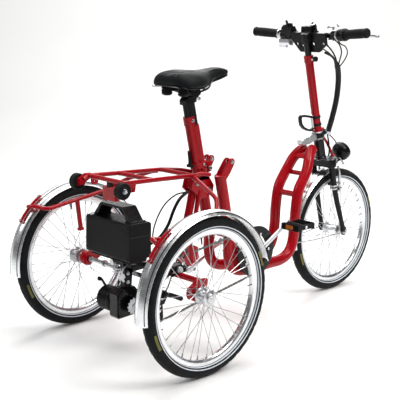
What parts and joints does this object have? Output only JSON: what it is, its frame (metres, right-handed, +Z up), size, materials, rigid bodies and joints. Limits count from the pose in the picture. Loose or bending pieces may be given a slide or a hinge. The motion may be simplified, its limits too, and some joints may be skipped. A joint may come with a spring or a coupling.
{
  "type": "adult tricycle",
  "caption": "Folding electric adult tricycle with a low step-through frame, rear rack, battery pack, spoked wheels and folding stem.",
  "frame": {"origin": "bottom centre of the bounding box, on the ground", "axes": "+X forward, +Y to the rider's left, +Z up"},
  "size_m": [1.5428, 0.707, 1.0477],
  "materials": {
    "red_paint": "glossy deep red powder coat",
    "black_paint": "satin black paint",
    "polished_alloy": "polished aluminium",
    "steel": "plated steel",
    "tyre_rubber": "black tyre rubber",
    "grip_rubber": "black rubber",
    "black_plastic": "textured black plastic",
    "saddle_cover": "black vinyl",
    "red_lens": "red transparent lens"
  },
  "bodies": {
    "main_frame": {"frame_tube_left": "red_paint", "frame_tube_right": "red_paint", "frame_gusset": "red_paint", "head_tube": "black_paint", "bottom_bracket_shell": "red_paint"},
    "rear_frame": {"rack_frame": "red_paint", "rear_strut": "red_paint", "axle_beam": "red_paint", "side_tube_left": "red_paint", "side_tube_right": "red_paint", "fender_left": "polished_alloy", "fender_right": "polished_alloy", "motor_bracket": "black_paint", "motor": "black_paint", "gearbox": "black_paint", "tail_light": "red_lens", "derailleur_body": "black_paint", "chain": "steel", "rear_cables": "black_plastic"},
    "battery": {"battery_case": "black_plastic", "battery_handle": "black_plastic"},
    "roller_left": {"transport_roller_left": "grip_rubber"},
    "roller_right": {"transport_roller_right": "grip_rubber"},
    "wheel_rear_left": {"tyre_rear_left": "tyre_rubber", "rim_rear_left": "polished_alloy", "hub_rear_left": "steel", "drive_shaft": "steel"},
    "wheel_rear_right": {"tyre_rear_right": "tyre_rubber", "rim_rear_right": "polished_alloy", "hub_rear_right": "steel"},
    "wheel_front": {"tyre_front": "tyre_rubber", "rim_front": "polished_alloy", "hub_front": "steel"},
    "cassette_body": {"cassette": "steel"},
    "derailleur_arm": {"derailleur_cage": "black_paint"},
    "crankset": {"chainring": "black_paint", "crank_arm_left": "steel", "crank_arm_right": "steel"},
    "pedal_left_body": {"pedal_left": "black_plastic"},
    "pedal_right_body": {"pedal_right": "black_plastic"},
    "seat_mast_body": {"seat_mast": "red_paint"},
    "clamp_lever_body": {"mast_clamp_lever": "black_paint"},
    "seat_post_body": {"seat_post": "black_paint", "saddle_rails": "black_paint", "saddle": "saddle_cover"},
    "fork_body": {"fork": "black_paint", "headlight": "black_plastic", "front_fender": "polished_alloy"},
    "brake_arm_left_body": {"brake_arm_left": "steel"},
    "brake_arm_right_body": {"brake_arm_right": "steel"},
    "stem_body": {"stem_tube": "red_paint", "cable_bundle": "black_plastic"},
    "latch_body": {"stem_latch": "black_paint"},
    "handlebar_body": {"handlebar": "black_paint", "grip_left": "grip_rubber", "grip_right": "grip_rubber"},
    "shifter_body": {"twist_shifter": "black_plastic"},
    "lever_left_body": {"brake_lever_left": "polished_alloy"},
    "lever_right_body": {"brake_lever_right": "polished_alloy"}
  },
  "joints": [
    {"name": "rear_fold", "type": "hinge", "parent": "main_frame", "child": "rear_frame", "pos_m": [-0.20362, 0, 0.497], "axis": [0, 1, 0], "range_deg": [-40, 0], "deforming": ["chain"]},
    {"name": "steering", "type": "hinge", "parent": "main_frame", "child": "fork_body", "pos_m": [0.40438, 0, 0.6435], "axis": [-0.2425, 0, 0.9701], "range_deg": [-50, 50]},
    {"name": "front_wheel_spin", "type": "hinge", "parent": "fork_body", "child": "wheel_front", "pos_m": [0.52338, 0, 0.248], "axis": [0, 1, 0], "continuous": true},
    {"name": "rear_left_wheel_spin", "type": "hinge", "parent": "rear_frame", "child": "wheel_rear_left", "pos_m": [-0.50362, 0.3285, 0.248], "axis": [0, 1, 0], "continuous": true},
    {"name": "rear_right_wheel_spin", "type": "hinge", "parent": "rear_frame", "child": "wheel_rear_right", "pos_m": [-0.50362, -0.3285, 0.248], "axis": [0, 1, 0], "continuous": true},
    {"name": "crank_spin", "type": "hinge", "parent": "main_frame", "child": "crankset", "pos_m": [-0.02862, 0, 0.263], "axis": [0, 1, 0], "continuous": true},
    {"name": "cassette_spin", "type": "hinge", "parent": "rear_frame", "child": "cassette_body", "pos_m": [-0.50362, -0.078, 0.248], "axis": [0, 1, 0], "continuous": true},
    {"name": "pedal_left_spin", "type": "hinge", "parent": "crankset", "child": "pedal_left_body", "pos_m": [-0.17906, 0.15, 0.17961], "axis": [0, 1, 0], "continuous": true},
    {"name": "pedal_right_spin", "type": "hinge", "parent": "crankset", "child": "pedal_right_body", "pos_m": [0.12181, -0.15, 0.34639], "axis": [0, 1, 0], "continuous": true},
    {"name": "derailleur_tension", "type": "hinge", "parent": "rear_frame", "child": "derailleur_arm", "pos_m": [-0.48162, -0.078, 0.176], "axis": [0, 1, 0], "range_deg": [-20, 25], "stiffness_Nm_per_rad": 2},
    {"name": "roller_left_spin", "type": "hinge", "parent": "rear_frame", "child": "roller_left", "pos_m": [-0.65462, 0.115, 0.558], "axis": [0, 1, 0], "continuous": true},
    {"name": "roller_right_spin", "type": "hinge", "parent": "rear_frame", "child": "roller_right", "pos_m": [-0.65462, -0.115, 0.558], "axis": [0, 1, 0], "continuous": true},
    {"name": "battery_slide", "type": "slide", "parent": "rear_frame", "child": "battery", "axis": [-1, 0, 0], "range_m": [0, 0.2]},
    {"name": "seat_mast_fold", "type": "hinge", "parent": "rear_frame", "child": "seat_mast_body", "pos_m": [-0.19962, 0, 0.56], "axis": [0, 1, 0], "range_deg": [0, 80]},
    {"name": "mast_clamp", "type": "hinge", "parent": "seat_mast_body", "child": "clamp_lever_body", "pos_m": [-0.27302, 0, 0.58384], "axis": [0, 1, 0], "range_deg": [-100, 0]},
    {"name": "seat_post_slide", "type": "slide", "parent": "seat_mast_body", "child": "seat_post_body", "axis": [-0.2288, 0, 0.9735], "range_m": [-0.035, 0.09]},
    {"name": "stem_fold", "type": "hinge", "parent": "fork_body", "child": "stem_body", "pos_m": [0.42887, 0, 0.66096], "axis": [0, 1, 0], "range_deg": [0, 95], "deforming": ["cable_bundle"]},
    {"name": "stem_latch_turn", "type": "hinge", "parent": "stem_body", "child": "latch_body", "pos_m": [0.36897, 0, 0.68619], "axis": [-0.2425, 0, 0.9701], "range_deg": [0, 60]},
    {"name": "bar_height", "type": "slide", "parent": "stem_body", "child": "handlebar_body", "axis": [-0.2425, 0, 0.9701], "range_m": [0, 0.07]},
    {"name": "brake_lever_left_pull", "type": "hinge", "parent": "handlebar_body", "child": "lever_left_body", "pos_m": [0.36072, 0.112, 1.02428], "axis": [-0.2425, 0, 0.9701], "range_deg": [0, 9], "stiffness_Nm_per_rad": 6},
    {"name": "brake_lever_right_pull", "type": "hinge", "parent": "handlebar_body", "child": "lever_right_body", "pos_m": [0.36072, -0.112, 1.02428], "axis": [0.2425, 0, -0.9701], "range_deg": [0, 9], "stiffness_Nm_per_rad": 6},
    {"name": "brake_arm_left_close", "type": "hinge", "parent": "fork_body", "child": "brake_arm_left_body", "pos_m": [0.48005, 0.045, 0.42328], "axis": [0.9701, 0, 0.2425], "range_deg": [0, 3]},
    {"name": "brake_arm_right_close", "type": "hinge", "parent": "fork_body", "child": "brake_arm_right_body", "pos_m": [0.48005, -0.045, 0.42328], "axis": [-0.9701, 0, -0.2425], "range_deg": [0, 3]},
    {"name": "twist_shift", "type": "hinge", "parent": "handlebar_body", "child": "shifter_body", "pos_m": [0.33857, -0.149, 1.02374], "axis": [-0.1372, -0.9883, 0.0662], "range_deg": [0, 60]}
  ],
  "couplings": [
    {"joint": "cassette_spin", "follows": "crank_spin", "ratio": 2.3889},
    {"joint": "brake_arm_left_close", "follows": "brake_lever_left_pull", "ratio": 0.3333},
    {"joint": "brake_arm_right_close", "follows": "brake_lever_left_pull", "ratio": 0.3333}
  ]
}
